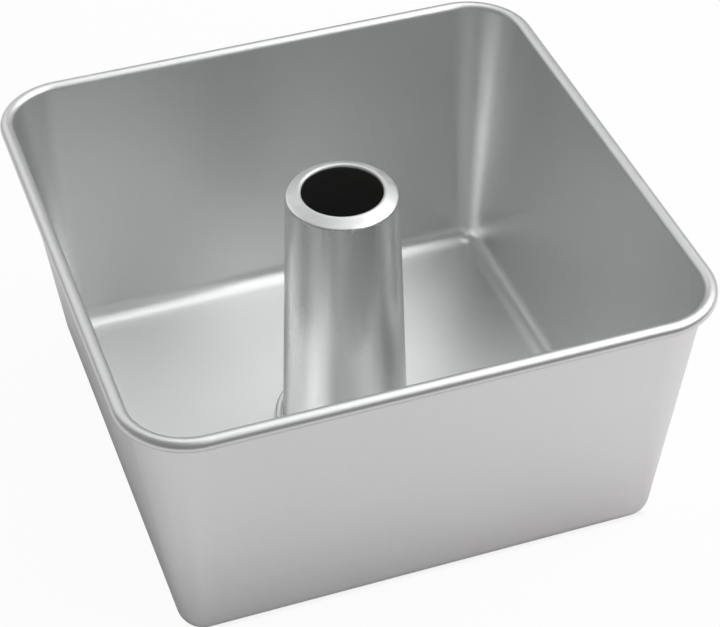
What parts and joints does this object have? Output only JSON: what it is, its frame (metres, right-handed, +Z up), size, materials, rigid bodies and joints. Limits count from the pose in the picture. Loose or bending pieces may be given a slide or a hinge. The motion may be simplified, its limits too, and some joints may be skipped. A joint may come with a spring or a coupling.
{
  "type": "square tube cake pan",
  "caption": "Square deep cake pan of pressed aluminium with sloping walls, round corners, a rolled rim and a fixed tapered centre tube that is open right through.",
  "frame": {"origin": "middle of the pan's underside, at the level of the table", "axes": "+Z up, along the centre tube and out of the pan's mouth; +X and +Y square to the walls"},
  "size_m": [0.2032, 0.2032, 0.1062],
  "materials": {
    "shell_aluminium": "satin anodised sheet",
    "tube_aluminium": "satin anodised sheet"
  },
  "bodies": {
    "root": {"pan_shell": "shell_aluminium", "center_tube": "tube_aluminium"}
  },
  "joints": []
}
